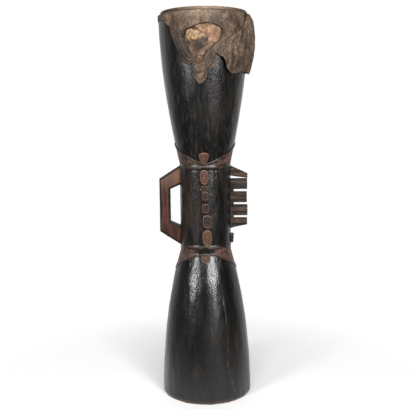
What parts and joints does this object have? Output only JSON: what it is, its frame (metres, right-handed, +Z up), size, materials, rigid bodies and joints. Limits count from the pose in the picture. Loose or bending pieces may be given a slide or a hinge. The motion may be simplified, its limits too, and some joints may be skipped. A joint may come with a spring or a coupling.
{
  "type": "kundu drum",
  "caption": "Hourglass hand drum carved from one log, with flared bells, slim waist, loop handle, comb crest and a torn skin head; stands on its foot.",
  "frame": {"origin": "on the drum's axis, in the plane of its foot", "axes": "+Z up along the drum's axis, -Y towards the carved front and the torn skin, -X towards the loop handle, +X towards the comb crest"},
  "size_m": [0.1862, 0.1789, 0.7545],
  "materials": {
    "blackened_wood": "smoke-blackened hardwood with a half-gloss patina",
    "reddish_wood": "hand-rubbed bare wood with blackened edges",
    "weathered_wood": "weathered wood with pale raised grain",
    "lizard_skin": "dried scaly skin, matt",
    "pale_skin": "flesh side of dried skin, matt",
    "tree_gum": "hardened tree gum, half gloss",
    "tuning_wax": "dark native wax"
  },
  "bodies": {
    "root": {"shell": "blackened_wood", "handle": "reddish_wood", "crest_arm": "weathered_wood", "crest_comb": "weathered_wood", "crest_stub": "blackened_wood", "drumhead_skin": "lizard_skin", "skin_apron": "lizard_skin", "skin_flap": "lizard_skin", "skin_scrap": "pale_skin", "gum_seal": "tree_gum", "gum_lump": "tree_gum", "tuning_wax_1": "tuning_wax", "tuning_wax_2": "tuning_wax", "tuning_wax_3": "tuning_wax", "tuning_wax_4": "tuning_wax"}
  },
  "joints": []
}
